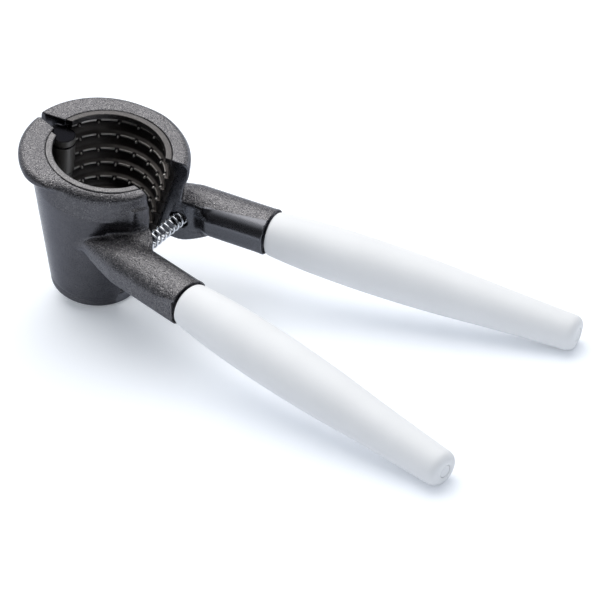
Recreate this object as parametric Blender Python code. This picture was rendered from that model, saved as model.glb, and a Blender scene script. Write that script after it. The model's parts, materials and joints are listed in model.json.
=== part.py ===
"""Spring-loaded nutcracker: a split cup on a hinge, two handles and a spring that holds them open.

Every size is in millimetres in the cup's own frame and is turned to metres as a mesh is made.
The cup's axis is Z, its foot stands at z = 0, the handles point to +X and the hinge is at -X.
At rest the whole tool leans on the foot's edge and the two handle tips.
"""

import math

import bmesh
import bpy
import numpy as np
from mathutils import Vector

MM = 0.001
GAP = 0.3
WELD = 0.003 * MM

# Cup: a cone that drifts toward the handles as it rises, under a round lip
FOOT_CENTRE = (0.0, 0.2)
FOOT_RADIUS = 17.2
FOOT_HEIGHT = 5.0
FOOT_CHAMFER = 1.0
BODY_TOP = 55.6
BODY_TOP_CENTRE = (1.7, 1.0)
BODY_TOP_RADIUS = 28.1
BODY_LEVELS = (20.0, 34.0, 46.0)
RIM_RADIUS = 31.0
RIM_TOP = 64.0
RIM_ROUND = 3.0
CUP_SEGMENTS = 64

# Round the near half's front the lip is flush with the wall, which swells out to the split,
# as (height, radius at the front, radius by the split)
SWELL = [(50.0, 27.3, 30.5), (53.0, 27.8, 31.0), (BODY_TOP, 27.5, 30.5)]
LIP_TURNS = (-50, -20, 10, 40, 65, 90)
LIP_FRONT = [(27.1, 29.8), (26.9, 29.4), (26.5, 28.9), (25.9, 28.5), (25.3, 28.0), (24.9, 27.4)]
NECK_FRONT = (27.2, 29.9)
SWELL_START = 0.66
SWELL_END = 0.94
LIP_CENTRE = (0.0, 0.0)

# Pocket in the cup for the steel liners, as (height, radius) round its own centre
POCKET_CENTRE = (2.1, 1.0)
POCKET = [(9.0, 14.6), (20.0, 17.6), (31.3, 20.0), (56.0, 24.8), (59.0, 24.8), (60.2, 23.4)]

# Split of the cup: both faces start at one corner beside the hinge, where each is cut back a little,
# as (how far at the corner, how far beside the pin)
SPLIT_CORNER = (-28.4, -0.9)
NEAR_SPLIT = math.radians(-7.3)
FAR_SPLIT = math.radians(14.0)
NEAR_RELIEF = (0.0, 0.6)
FAR_RELIEF = (2.3, 2.6)
RELIEF_END = -14.0

# Hinge on an axis along the cup's own
PIN_AXIS = (-18.2, -0.5)
PIN_RADIUS = 2.0
KNUCKLE_RADIUS = 4.6
KNUCKLE = (44.8, 57.6)
LOWER_TAB_RADIUS = 4.0
LOWER_TAB = (41.9, 44.5)
UPPER_TAB = (57.9, 61.1)
PIN_TOP = 59.6
PIN_HEAD = (39.6, 41.6)
PIN_HEAD_RADIUS = 3.2
HINGE_SPACE = (38.6, 61.4)

# Liner: steps that narrow downward, each with a row of small pointed nubs
STEP_COUNT = 8
FIRST_STEP = 60.2
STEP_PITCH = 6.0
FIRST_STEP_RADIUS = 22.1
STEP_INSET = 1.14
LINER_FLOOR = 9.3
BEAD_WIDTH = 2.5
NUB_COLUMNS = 18
NEAR_NUB_PHASE = math.radians(6.0)
FAR_NUB_PHASE = math.radians(-1.5)
NUB_REACH = 1.1
NUB_NOTCH = 0.7
NUB_HEIGHT = 1.7

# Arms, handles and the steel tangs that join them; the near side has its y values negative
ARM_START = (0.0, 16.3, 36.2)
ARM_END = (61.8, 25.4, 42.8)
ARM_RADIUS = 8.7
ARM_LENGTH = 62.3
ARM_BAND = 0.19
UNDER_ARM = [(1.0, -0.19), (0.93, -0.46), (0.74, -0.68), (0.45, -0.78)]
ARM_RAMP = [(3.0, 2.6), (6.0, 3.5), (10.0, 4.7), (15.0, 5.9), (20.0, 7.0), (25.0, 8.0), (30.0, ARM_RADIUS)]
ARM_COLLAR = [
    (ARM_LENGTH - 4.0, ARM_RADIUS),
    (ARM_LENGTH - 1.6, ARM_RADIUS + 0.2),
    (ARM_LENGTH - 0.5, ARM_RADIUS - 0.4),
    (ARM_LENGTH, ARM_RADIUS - 1.4),
]
NOSE = [(0.0, 3.0), (1.0, 5.4), (2.6, 7.2), (5.0, 8.4), (8.0, ARM_RADIUS + 0.05)]
HANDLE_END = (181.7, 43.1, 55.4)
GRIP_SHAPE = [(0.0, 8.4), (0.1, 9.35), (0.28, 10.03), (0.5, 9.6), (0.75, 7.9), (0.9, 7.0), (1.0, 6.5)]
GRIP_SEGMENTS = 32
GRIP_LEVELS = 14
END_ROUND = 2.6
TANG_RADIUS = 2.6
TANG_IN_ARM = 15.0
TANG_IN_GRIP = 70.0
PLUG_RADIUS = 2.1
PLUG_DEPTH = 3.0

# Web between the cup, each arm and the split face, at places along X:
# (x, low, high at the split, share of the way to the arm at the top, the same at the bottom)
NEAR_WEB = [
    (14.0, 30.0, 45.6, 0.0, 0.0),
    (24.0, 27.0, 48.2, 0.0, 0.0),
    (29.0, 27.0, 49.6, 0.0, 0.0),
    (32.0, 28.6, 47.2, 0.0, 0.0),
    (35.0, 30.4, 46.2, 0.36, 0.0),
    (38.0, 32.4, 46.8, 0.7, 0.12),
    (41.0, 34.0, 48.0, 0.85, 0.4),
]
FAR_WEB = [
    (14.0, 30.0, 46.0, 0.0, 0.0),
    (24.0, 27.0, 45.8, 0.0, 0.0),
    (29.0, 27.0, 45.9, 0.05, 0.0),
    (32.0, 28.6, 46.6, 0.24, 0.0),
    (35.0, 30.4, 47.1, 0.47, 0.0),
    (38.0, 32.4, 47.7, 0.7, 0.12),
    (41.0, 34.0, 48.2, 0.83, 0.4),
]
WEB_EDGE = 0.9
CROWN_SHARE = 0.9
UNDER_SHARE = 0.6
FAR_NOSE = 34.5
FAR_ARM_START = [(48.0, ARM_RADIUS - 0.4)]

# Post along each split face, as (height, outer x), and how its outside falls back from the face
POST = [(27.2, 22.2), (33.0, 24.9), (40.0, 26.3), (46.0, 27.4), (50.0, 28.9), (53.0, 29.8), (58.4, 30.0)]
POST_BACK = 18.0
POST_FALL = [(-2.1, 0.0), (1.5, 0.0), (2.5, 0.7), (4.4, 2.4)]
POST_REACH = 30.8
BEYOND_SPLIT = 2.1

# Return spring between two seats
SPRING_X = 27.0
SPRING_Z = 36.7
SPRING_RADIUS = 2.55
WIRE = 0.8
SEAT_RADIUS = 3.6
SEAT_DEPTH = 4.0
SPRING_CURLS = 10
POINTS_PER_CURL = 9
STRAIGHT_END = 1.6 * WIRE

COLOURS = {
    "cup": ((0.17, 0.175, 0.19, 1.0), 0.36, 1.0),
    "liner": ((0.10, 0.085, 0.075, 1.0), 0.34, 1.0),
    "steel": ((0.62, 0.63, 0.65, 1.0), 0.25, 1.0),
    "zinc": ((0.70, 0.71, 0.74, 1.0), 0.2, 1.0),
    "grip": ((0.78, 0.79, 0.80, 1.0), 0.62, 0.0),
    "plug": ((0.70, 0.71, 0.72, 1.0), 0.5, 0.0),
}


def material(key):
    made = bpy.data.materials.get(key)
    if made:
        return made
    colour, roughness, metallic = COLOURS[key]
    made = bpy.data.materials.new(key)
    made.use_nodes = True
    shader = made.node_tree.nodes["Principled BSDF"]
    shader.inputs["Base Color"].default_value = colour
    shader.inputs["Roughness"].default_value = roughness
    shader.inputs["Metallic"].default_value = metallic
    made.diffuse_color = colour
    return made


def as_object(name, bm):
    """An object from a bmesh in millimetres, with its faces turned outward."""
    bmesh.ops.recalc_face_normals(bm, faces=bm.faces)
    bmesh.ops.scale(bm, vec=(MM, MM, MM), verts=bm.verts)
    mesh = bpy.data.meshes.new(name)
    bm.to_mesh(mesh)
    bm.free()
    made = bpy.data.objects.new(name, mesh)
    bpy.context.collection.objects.link(made)
    return made


def skin(name, rings):
    """A closed solid through rings of equally many points, capped at both ends."""
    bm = bmesh.new()
    loops = [[bm.verts.new(point) for point in ring] for ring in rings]
    count = len(loops[0])
    for low, high in zip(loops, loops[1:]):
        for i in range(count):
            j = (i + 1) % count
            bm.faces.new((low[i], low[j], high[j], high[i]))
    bm.faces.new(loops[0])
    bm.faces.new(loops[-1])
    return as_object(name, bm)


def hull(name, points):
    bm = bmesh.new()
    for point in points:
        bm.verts.new(point)
    made = bmesh.ops.convex_hull(bm, input=bm.verts)
    spare = [item for item in made["geom_interior"] if isinstance(item, bmesh.types.BMVert)]
    bmesh.ops.delete(bm, geom=spare, context="VERTS")
    return as_object(name, bm)


def between(low, high, share):
    return low + (high - low) * share


def ring(centre, radius, z, segments=CUP_SEGMENTS):
    angles = [2 * math.pi * i / segments for i in range(segments)]
    return [(centre[0] + radius * math.cos(a), centre[1] + radius * math.sin(a), z) for a in angles]


def toward_handles(angle):
    """0 on the hinge side of the cup, and 1 round its front to where the split opens."""
    share = min(max((math.cos(angle) + 0.5) / 0.75, 0.0), 1.0)
    return share * share * (3.0 - 2.0 * share)


def toward_split(angle):
    """0 round the cup's front, and 1 by the split."""
    return min(max((math.cos(angle) - SWELL_START) / (SWELL_END - SWELL_START), 0.0), 1.0)


def swollen(centre, radius, front, z):
    """A ring whose front part has its own radius round the cup's axis: at the front, and by the split."""
    points = []
    for i, (x, y, _) in enumerate(ring(centre, radius, z)):
        angle = 2 * math.pi * i / CUP_SEGMENTS
        share = toward_handles(angle)
        own = between(*front, toward_split(angle))
        points.append((between(x, own * math.cos(angle), share), between(y, own * math.sin(angle), share), z))
    return points


def upright(name, centre, radius, low, high, segments=32):
    return skin(name, [ring(centre, radius, low, segments), ring(centre, radius, high, segments)])


def prism(name, outline, low, high):
    return skin(name, [[(x, y, z) for x, y in outline] for z in (low, high)])


def weld(mesh):
    """Joins points closer than a cut can tell apart, so that no sliver stays between them."""
    bm = bmesh.new()
    bm.from_mesh(mesh)
    bmesh.ops.remove_doubles(bm, verts=bm.verts, dist=WELD)
    bmesh.ops.dissolve_degenerate(bm, edges=bm.edges, dist=WELD)
    bm.to_mesh(mesh)
    bm.free()


def change(target, tool, operation, solver="EXACT"):
    """Cuts, joins or intersects target with tool, and removes tool."""
    modifier = target.modifiers.new("change", "BOOLEAN")
    modifier.operation = operation
    modifier.solver = solver
    modifier.object = tool
    bpy.context.view_layer.update()
    graph = bpy.context.evaluated_depsgraph_get()
    changed = bpy.data.meshes.new_from_object(target.evaluated_get(graph))
    weld(changed)
    target.modifiers.clear()
    before = target.data
    target.data = changed
    bpy.data.meshes.remove(before)
    bpy.data.meshes.remove(tool.data)


def blend(points, at):
    """A smooth curve through (position, value) points."""
    xs = [x for x, _ in points]
    ys = [y for _, y in points]
    slopes = np.gradient(ys, xs)
    i = min(max(int(np.searchsorted(xs, at)) - 1, 0), len(xs) - 2)
    step = xs[i + 1] - xs[i]
    t = (at - xs[i]) / step
    start = (2 * t**3 - 3 * t**2 + 1) * ys[i] + (t**3 - 2 * t**2 + t) * step * slopes[i]
    end = (3 * t**2 - 2 * t**3) * ys[i + 1] + (t**3 - t**2) * step * slopes[i + 1]
    return start + end


def split_y(angle, x):
    return SPLIT_CORNER[1] + math.tan(angle) * (x - SPLIT_CORNER[0])


def body_at(z):
    """Centre and radius of the cup's cone at a height."""
    share = z / BODY_TOP
    centre = [between(a, b, share) for a, b in zip(FOOT_CENTRE, BODY_TOP_CENTRE)]
    return centre, between(FOOT_RADIUS, BODY_TOP_RADIUS, share)


def cup_outside(name, floor, side):
    """The cone from its floor to its lip, solid inside; the near half's front is swollen."""
    rings = [ring(*body_at(z), z) for z in (floor, *BODY_LEVELS)]
    for z, *front in SWELL:
        centre, radius = body_at(z)
        rings.append(swollen(centre, radius, front, z) if side < 0 else ring(centre, radius, z))
    middle = RIM_TOP - RIM_ROUND
    neck = RIM_RADIUS - 2.0
    rings.append(swollen(LIP_CENTRE, neck, NECK_FRONT if side < 0 else (neck, neck), middle - RIM_ROUND))
    for degrees, front in zip(LIP_TURNS, LIP_FRONT):
        turn = math.radians(degrees)
        radius = RIM_RADIUS - RIM_ROUND + RIM_ROUND * math.cos(turn)
        z = middle + RIM_ROUND * math.sin(turn)
        rings.append(swollen(LIP_CENTRE, radius, front if side < 0 else (radius, radius), z))
    return skin(name, rings)


def foot():
    rings = [
        ring(FOOT_CENTRE, FOOT_RADIUS - FOOT_CHAMFER, 0.0),
        ring(FOOT_CENTRE, FOOT_RADIUS, FOOT_CHAMFER),
        ring(FOOT_CENTRE, FOOT_RADIUS + 0.3, FOOT_HEIGHT),
    ]
    return skin("foot", rings)


def pocket():
    rings = [ring(POCKET_CENTRE, radius, z) for z, radius in POCKET]
    rings.append(ring(POCKET_CENTRE, POCKET[-1][1], RIM_TOP + 2.0))
    return skin("pocket", rings)


def beyond_split(side):
    """All the space on the other side of one half's split face."""
    angle, relief = (NEAR_SPLIT, NEAR_RELIEF) if side < 0 else (FAR_SPLIT, FAR_RELIEF)
    left, right, outer = (-40.0, 70.0, -side * 60.0)
    outline = []
    for x, back in ((SPLIT_CORNER[0], relief[0]), (PIN_AXIS[0], relief[1]), (RELIEF_END, 0.0), (right, 0.0)):
        outline.append((x, split_y(angle, x) + side * (GAP / 2 + back)))
    outline = [(left, outline[0][1]), *outline, (right, outer), (left, outer)]
    return prism("beyond_split", outline, -5.0, RIM_TOP + 6.0)


def on_axis(side, length):
    """A point on an arm's axis, and the unit vectors along it and across it."""
    start = Vector(ARM_START)
    end = Vector(ARM_END)
    start.y *= side
    end.y *= side
    along = (end - start).normalized()
    across = Vector((0, 0, 1)).cross(along).normalized()
    up = along.cross(across)
    return start + along * length, along, across, up


def arm_run():
    """How far an arm's axis goes along X in one millimetre of its length."""
    way = Vector(ARM_END) - Vector(ARM_START)
    return way.x / way.length


def arm_section(point, across, up, radius):
    """Rounded over the top, upright at the sides, flat below."""
    band = radius * ARM_BAND
    outline = []
    for i in range(11):
        turn = math.pi * i / 10
        outline.append((radius * math.cos(turn), band + (radius * 0.98 - band) * math.sin(turn)))
    for u, w in UNDER_ARM:
        outline.append((-u * radius, w * radius))
    for u, w in reversed(UNDER_ARM):
        outline.append((u * radius, w * radius))
    return [point + across * u + up * w for u, w in outline]


def arm(side, lengths):
    """An arm through (length, radius) places along its axis."""
    rings = []
    for length, radius in lengths:
        point, _, across, up = on_axis(side, length)
        rings.append(arm_section(point, across, up, radius))
    return skin("arm", rings)


def web(side):
    """Plate between the cup, the arm and the split face, ending in a sweep up to the arm's crown."""
    angle, rows = (NEAR_SPLIT, NEAR_WEB) if side < 0 else (FAR_SPLIT, FAR_WEB)
    rings = []
    for x, low, high, top_share, low_share in rows:
        middle, _, _, _ = on_axis(side, (x - ARM_START[0]) / arm_run())
        face = split_y(angle, x) - side * BEYOND_SPLIT
        top = between(face, middle.y, top_share)
        bottom = between(face, middle.y, low_share)
        crown = middle.z + CROWN_SHARE * ARM_RADIUS
        outline = [(bottom, low + WEB_EDGE), (top, high - WEB_EDGE), (top + side * WEB_EDGE, high)]
        outer = middle.y + side * WEB_EDGE
        under = between(face, middle.y, UNDER_SHARE)
        outline += [(outer, crown), (outer, middle.z), (under, low), (bottom + side * WEB_EDGE, low)]
        rings.append([(x, y, z) for y, z in outline])
    return skin("web", rings)


def post(side):
    """Thick edge of the cup wall beside the split, nearly upright outside."""
    angle = NEAR_SPLIT if side < 0 else FAR_SPLIT
    rings = []
    for z, x in POST:
        face = split_y(angle, x)
        outline = [(POST_BACK, face - side * BEYOND_SPLIT)]
        for depth, fall in POST_FALL:
            y = face + side * depth
            outline.append((min(x - fall, math.sqrt(POST_REACH**2 - y * y)), y))
        outline.append((POST_BACK, face + side * (POST_FALL[-1][0] + 3.5)))
        rings.append([(px, py, z) for px, py in outline])
    return skin("post", rings)


def seat(side):
    """Round recess in the web for one end of the spring, cut along Y."""
    face = split_y(NEAR_SPLIT if side < 0 else FAR_SPLIT, SPRING_X)
    rings = []
    for y in (face - side * 4.0, face + side * SEAT_DEPTH):
        points = []
        for i in range(24):
            turn = 2 * math.pi * i / 24
            points.append((SPRING_X + SEAT_RADIUS * math.cos(turn), y, SPRING_Z + SEAT_RADIUS * math.sin(turn)))
        rings.append(points)
    return skin("seat", rings)


def rod(name, side, places, segments=24):
    """A round bar along an arm's axis through (length, radius) places."""
    rings = []
    for length, radius in places:
        point, _, across, up = on_axis(side, length)
        turns = [2 * math.pi * i / segments for i in range(segments)]
        rings.append([point + across * radius * math.cos(t) + up * radius * math.sin(t) for t in turns])
    return skin(name, rings)


def lug(name, side, radius, low, high):
    """A hinge leaf: a round eye at the pin with a neck to the cup wall on one side."""
    points = ring(PIN_AXIS, radius, low, 24) + ring(PIN_AXIS, radius, high, 24)
    for z in (low, high):
        centre, outer = body_at(min(z, BODY_TOP))
        for degrees in (8.0, 22.0):
            turn = math.radians(180.0 - side * degrees)
            reach = outer - 1.4
            points.append((centre[0] + reach * math.cos(turn), centre[1] + reach * math.sin(turn), z))
    return hull(name, points)


def jaw(name, side):
    floor = FOOT_HEIGHT - 1.0 if side < 0 else FOOT_HEIGHT + GAP
    made = cup_outside(name, floor, side)
    if side < 0:
        change(made, arm(side, ARM_RAMP + ARM_COLLAR), "UNION")
    else:
        change(made, arm(side, ARM_RAMP + FAR_ARM_START), "UNION")
    change(made, web(side), "UNION")
    change(made, post(side), "UNION")
    change(made, pocket(), "DIFFERENCE")
    change(made, beyond_split(side), "DIFFERENCE")
    if side < 0:
        change(made, foot(), "UNION")
    else:
        places = [(FAR_NOSE + length, radius) for length, radius in NOSE]
        change(made, arm(side, places + ARM_COLLAR), "UNION")
    change(made, seat(side), "DIFFERENCE")
    socket = TANG_RADIUS + GAP
    change(made, rod("socket", side, [(ARM_LENGTH - TANG_IN_ARM - GAP, socket), (70.0, socket)]), "DIFFERENCE")
    cut_hinge(made, side)
    return made


def cut_hinge(made, side):
    """Clears each half round the other's hinge leaves, then adds its own and bores them."""
    wide = KNUCKLE_RADIUS + 1.2 * GAP
    narrow = LOWER_TAB_RADIUS + 1.2 * GAP
    head = (HINGE_SPACE[0], LOWER_TAB[0])
    if side < 0:
        for radius, low, high in ((wide, KNUCKLE[1], HINGE_SPACE[1]), (narrow, head[0], KNUCKLE[0])):
            change(made, upright("clearance", PIN_AXIS, radius, low, high), "DIFFERENCE")
        change(made, lug("knuckle", side, KNUCKLE_RADIUS, *KNUCKLE), "UNION")
        bore_top = RIM_TOP
    else:
        for radius, low, high in ((wide, LOWER_TAB[1], UPPER_TAB[0]), (narrow, *head)):
            change(made, upright("clearance", PIN_AXIS, radius, low, high), "DIFFERENCE")
        change(made, lug("upper_tab", side, KNUCKLE_RADIUS, *UPPER_TAB), "UNION")
        change(made, lug("lower_tab", side, LOWER_TAB_RADIUS, *LOWER_TAB), "UNION")
        bore_top = PIN_TOP + GAP
    change(made, upright("bore", PIN_AXIS, PIN_RADIUS + GAP, head[0], bore_top), "DIFFERENCE")


def step_radius(k):
    return FIRST_STEP_RADIUS - STEP_INSET * k


def liner_levels():
    """(height, radius, nub reach, notch depth) down the inside of a liner."""
    middle = POCKET[-1][1] - GAP - BEAD_WIDTH / 2
    levels = []
    for degrees in (45, 90, 135, 180, 215):
        turn = math.radians(degrees)
        z = RIM_TOP - BEAD_WIDTH / 2 + BEAD_WIDTH / 2 * math.sin(turn)
        levels.append((z, middle + BEAD_WIDTH / 2 * math.cos(turn), 0.0, 0.0))
    levels.append((FIRST_STEP + 0.9, FIRST_STEP_RADIUS + 0.3, 0.0, 0.0))
    for k in range(STEP_COUNT):
        z = FIRST_STEP - STEP_PITCH * k
        radius = step_radius(k)
        levels.append((z, radius, NUB_REACH, NUB_NOTCH))
        levels.append((z - NUB_HEIGHT, radius + 0.25, 0.0, 0.15))
        foot_z = max(z - STEP_PITCH + 0.5, LINER_FLOOR)
        levels.append((foot_z, radius + 0.1, 0.0, 0.0))
    levels.append((LINER_FLOOR, step_radius(STEP_COUNT - 1) - 0.6, 0.0, 0.0))
    return levels


def liner_ring(level, phase):
    """One level of a liner's inside: pointed nubs between two notches at equal angles."""
    z, radius, reach, notch = level
    pitch = 2 * math.pi / NUB_COLUMNS
    points = []
    for i in range(NUB_COLUMNS):
        for share, change_by in ((-0.17, notch), (0.0, -reach), (0.17, notch), (0.5, 0.0)):
            turn = pitch * (i + share) + phase
            r = radius + change_by
            points.append((POCKET_CENTRE[0] + r * math.cos(turn), POCKET_CENTRE[1] + r * math.sin(turn), z))
    return points


def liner(name, side):
    """Half of a stepped ring, made whole and cut at the split face and round the hinge."""
    count = 4 * NUB_COLUMNS
    outside = [(LINER_FLOOR, POCKET[0][1] - GAP)]
    outside += [(z - GAP, radius - GAP) for z, radius in POCKET[1:]]
    outside += [(RIM_TOP - BEAD_WIDTH / 2, POCKET[-1][1] - GAP)]
    rings = [ring(POCKET_CENTRE, radius, z, count) for z, radius in outside]
    phase = NEAR_NUB_PHASE if side < 0 else FAR_NUB_PHASE
    rings += [liner_ring(level, phase) for level in liner_levels()]
    bm = bmesh.new()
    loops = [[bm.verts.new(point) for point in one] for one in rings]
    loops.append(loops[0])
    for low, high in zip(loops, loops[1:]):
        for i in range(count):
            j = (i + 1) % count
            bm.faces.new((low[i], low[j], high[j], high[i]))
    made = as_object(name, bm)
    change(made, beyond_split(side), "DIFFERENCE")
    if side < 0:
        bead_end = upright("bead_end", PIN_AXIS, KNUCKLE_RADIUS, KNUCKLE[1], RIM_TOP + 2.0)
        change(made, bead_end, "DIFFERENCE", "MANIFOLD")
    points = []
    for z in HINGE_SPACE:
        points += ring(PIN_AXIS, KNUCKLE_RADIUS + 1.5 * GAP, z, 24)
        for degrees in (-8.0, 27.0):
            turn = math.radians(180.0 - side * degrees)
            points.append((POCKET_CENTRE[0] + 27 * math.cos(turn), POCKET_CENTRE[1] + 27 * math.sin(turn), z))
    change(made, hull("hinge_space", points), "DIFFERENCE")
    return made


def hinge_pin():
    rings = [
        ring(PIN_AXIS, PIN_HEAD_RADIUS - 0.5, PIN_HEAD[0], 24),
        ring(PIN_AXIS, PIN_HEAD_RADIUS, PIN_HEAD[0] + 0.5, 24),
        ring(PIN_AXIS, PIN_HEAD_RADIUS, PIN_HEAD[1], 24),
        ring(PIN_AXIS, PIN_RADIUS, PIN_HEAD[1], 24),
        ring(PIN_AXIS, PIN_RADIUS, PIN_TOP - 0.5, 24),
        ring(PIN_AXIS, PIN_RADIUS - 0.5, PIN_TOP, 24),
    ]
    return skin("hinge_pin", rings)


def grip_length():
    return (Vector(HANDLE_END) - Vector(ARM_END)).length


def grip(name, side):
    """Swelling round handle, bored for its tang and for the plug in its end."""
    length = grip_length()
    start = ARM_LENGTH + 0.5
    first = GRIP_SHAPE[0][1]
    last = GRIP_SHAPE[-1][1]
    places = [(start, first - 1.0), (start + 0.4, first - 0.3), (start + 1.2, first)]
    for i in range(1, GRIP_LEVELS):
        share = i / GRIP_LEVELS
        places.append((start + length * share, blend(GRIP_SHAPE, share)))
    for degrees in (10, 40, 65, 90):
        turn = math.radians(degrees)
        along = start + length - END_ROUND + END_ROUND * math.sin(turn)
        places.append((along, last - END_ROUND + END_ROUND * math.cos(turn)))
    made = rod(name, side, places, GRIP_SEGMENTS)
    bore = TANG_RADIUS + GAP
    change(made, rod("bore", side, [(start - 2.0, bore), (start + TANG_IN_GRIP + GAP, bore)]), "DIFFERENCE")
    hole = PLUG_RADIUS + GAP
    end = start + length
    change(made, rod("hole", side, [(end - PLUG_DEPTH - GAP, hole), (end + 2.0, hole)]), "DIFFERENCE")
    return made


def tang(name, side):
    start = ARM_LENGTH - TANG_IN_ARM
    end = ARM_LENGTH + TANG_IN_GRIP
    places = [(start, TANG_RADIUS - 0.5), (start + 0.5, TANG_RADIUS), (end - 0.5, TANG_RADIUS), (end, TANG_RADIUS - 0.5)]
    return rod(name, side, places)


def end_plug(name, side):
    end = ARM_LENGTH + 0.5 + grip_length()
    places = [(end - PLUG_DEPTH, PLUG_RADIUS), (end - 0.3, PLUG_RADIUS), (end, PLUG_RADIUS - 0.3)]
    return rod(name, side, places)


def spring_points():
    """Helix along Y; each end closes on itself and turns straight into its seat."""
    low = split_y(NEAR_SPLIT, SPRING_X) - SEAT_DEPTH + GAP
    high = split_y(FAR_SPLIT, SPRING_X) + SEAT_DEPTH - GAP
    coil_low = low + STRAIGHT_END
    coil_high = high - STRAIGHT_END
    points = [(SPRING_X + SPRING_RADIUS, low, SPRING_Z)]
    count = SPRING_CURLS * POINTS_PER_CURL
    for i in range(count + 1):
        turn = 2 * math.pi * i / POINTS_PER_CURL
        x = SPRING_X + SPRING_RADIUS * math.cos(turn)
        z = SPRING_Z + SPRING_RADIUS * math.sin(turn)
        points.append((x, between(coil_low, coil_high, i / count), z))
    points.append((SPRING_X + SPRING_RADIUS, high, SPRING_Z))
    return points


def least_gap(points, wire):
    """Smallest free distance between two stretches of wire more than half a turn apart."""
    places = np.array(points)
    apart = POINTS_PER_CURL // 2 + 1
    distances = [np.linalg.norm(places[i + apart :] - p, axis=1).min() for i, p in enumerate(places[:-apart])]
    return min(distances) - wire


def return_spring():
    curve = bpy.data.curves.new("return_spring", "CURVE")
    curve.dimensions = "3D"
    curve.bevel_depth = WIRE / 2 * MM
    curve.bevel_resolution = 1
    curve.use_fill_caps = True
    points = spring_points()
    spline = curve.splines.new("POLY")
    spline.points.add(len(points) - 1)
    for place, point in zip(spline.points, points):
        place.co = (point[0] * MM, point[1] * MM, point[2] * MM, 1.0)
    made = bpy.data.objects.new("return_spring", curve)
    bpy.context.collection.objects.link(made)
    print("return_spring least gap to itself, mm:", round(least_gap(points, WIRE), 2))
    return made


def world_points(made):
    return np.array([made.matrix_world @ vertex.co for vertex in made.data.vertices])


def resting_lean(feet, tips):
    """The lean at which the foot's edge and the handle tips touch one table."""
    low, high = 0.0, math.radians(45.0)
    for _ in range(50):
        lean = (low + high) / 2
        foot_low = (feet[:, 2] * math.cos(lean) - feet[:, 0] * math.sin(lean)).min()
        tips_low = (tips[:, 2] * math.cos(lean) - tips[:, 0] * math.sin(lean)).min()
        if tips_low > foot_low:
            low = lean
        else:
            high = lean
    return lean


def rest_on_table(stance, pieces):
    """Leans the tool on its foot and tips, with the middle of its box over the origin."""
    by_name = {piece.name: piece for piece in pieces}
    tips = np.concatenate([world_points(by_name[name]) for name in ("near_grip", "far_grip")])
    stance.rotation_euler = (0.0, resting_lean(world_points(by_name["near_jaw"]), tips), 0.0)
    bpy.context.view_layer.update()
    solid = [piece for piece in pieces if piece.type == "MESH"]
    every = np.concatenate([world_points(piece) for piece in solid])
    low = every.min(axis=0)
    high = every.max(axis=0)
    stance.location = (-(low[0] + high[0]) / 2, -(low[1] + high[1]) / 2, -low[2])


def finish(piece, key, parent):
    """Material, smooth round faces and a parent that carries the piece."""
    piece.data.materials.clear()
    piece.data.materials.append(material(key))
    if piece.type == "MESH":
        piece.data.shade_smooth()
        piece.data.set_sharp_from_angle(angle=math.radians(32.0))
    piece.parent = parent
    piece.matrix_parent_inverse = parent.matrix_world.inverted()


def empty(name, location, parent=None):
    made = bpy.data.objects.new(name, None)
    made.empty_display_size = 0.01
    made.location = location
    made.parent = parent
    bpy.context.collection.objects.link(made)
    bpy.context.view_layer.update()
    return made


def build():
    for old in list(bpy.data.objects):
        bpy.data.objects.remove(old)
    stance = empty("stance", (0.0, 0.0, 0.0))
    far_side = empty("far_side", (PIN_AXIS[0] * MM, PIN_AXIS[1] * MM, KNUCKLE[0] * MM), stance)
    made = [
        (jaw("near_jaw", -1), "cup", stance),
        (liner("near_liner", -1), "liner", stance),
        (hinge_pin(), "steel", stance),
        (tang("near_tang", -1), "steel", stance),
        (grip("near_grip", -1), "grip", stance),
        (end_plug("near_end_plug", -1), "plug", stance),
        (return_spring(), "zinc", stance),
        (jaw("far_jaw", 1), "cup", far_side),
        (liner("far_liner", 1), "liner", far_side),
        (tang("far_tang", 1), "steel", far_side),
        (grip("far_grip", 1), "grip", far_side),
        (end_plug("far_end_plug", 1), "plug", far_side),
    ]
    for piece, key, parent in made:
        finish(piece, key, parent)
    bpy.context.view_layer.update()
    rest_on_table(stance, [piece for piece, _, _ in made])
    bpy.context.view_layer.update()


build()
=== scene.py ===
"""Spring-loaded nutcracker: cast cup halves on a hinge pin, toothed liners, two grips and a spring."""

import json
import math

import bpy
import numpy as np
import openvdb
from mathutils import Matrix, Vector


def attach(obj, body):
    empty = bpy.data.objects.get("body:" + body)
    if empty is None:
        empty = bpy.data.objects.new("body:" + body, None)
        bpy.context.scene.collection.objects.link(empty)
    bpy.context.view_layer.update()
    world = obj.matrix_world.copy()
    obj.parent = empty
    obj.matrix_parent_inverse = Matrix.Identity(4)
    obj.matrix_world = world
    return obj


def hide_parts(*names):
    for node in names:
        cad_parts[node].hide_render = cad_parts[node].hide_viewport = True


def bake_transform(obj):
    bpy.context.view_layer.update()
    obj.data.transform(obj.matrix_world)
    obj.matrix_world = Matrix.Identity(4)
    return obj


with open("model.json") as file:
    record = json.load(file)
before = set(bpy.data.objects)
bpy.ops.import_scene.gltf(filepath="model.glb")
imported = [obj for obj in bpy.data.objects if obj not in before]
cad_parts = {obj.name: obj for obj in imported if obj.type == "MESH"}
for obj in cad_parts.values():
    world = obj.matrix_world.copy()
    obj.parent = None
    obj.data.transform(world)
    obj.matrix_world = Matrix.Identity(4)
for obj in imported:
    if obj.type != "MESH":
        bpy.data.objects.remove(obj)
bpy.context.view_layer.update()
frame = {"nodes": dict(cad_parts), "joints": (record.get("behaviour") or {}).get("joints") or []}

# How the tool stands: it leans on the edge of its foot and on the tips of its grips. Every piece
# is measured in millimetres from the middle of the foot, with Z up the cup and the grips toward
# +X. The hinge gives the lean and the place, because its pin runs along the cup.
MM = 0.001
PIN_AXIS = (-18.2, -0.5)
PIN_MIDDLE = 51.0
hinge = frame["joints"][0]
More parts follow.
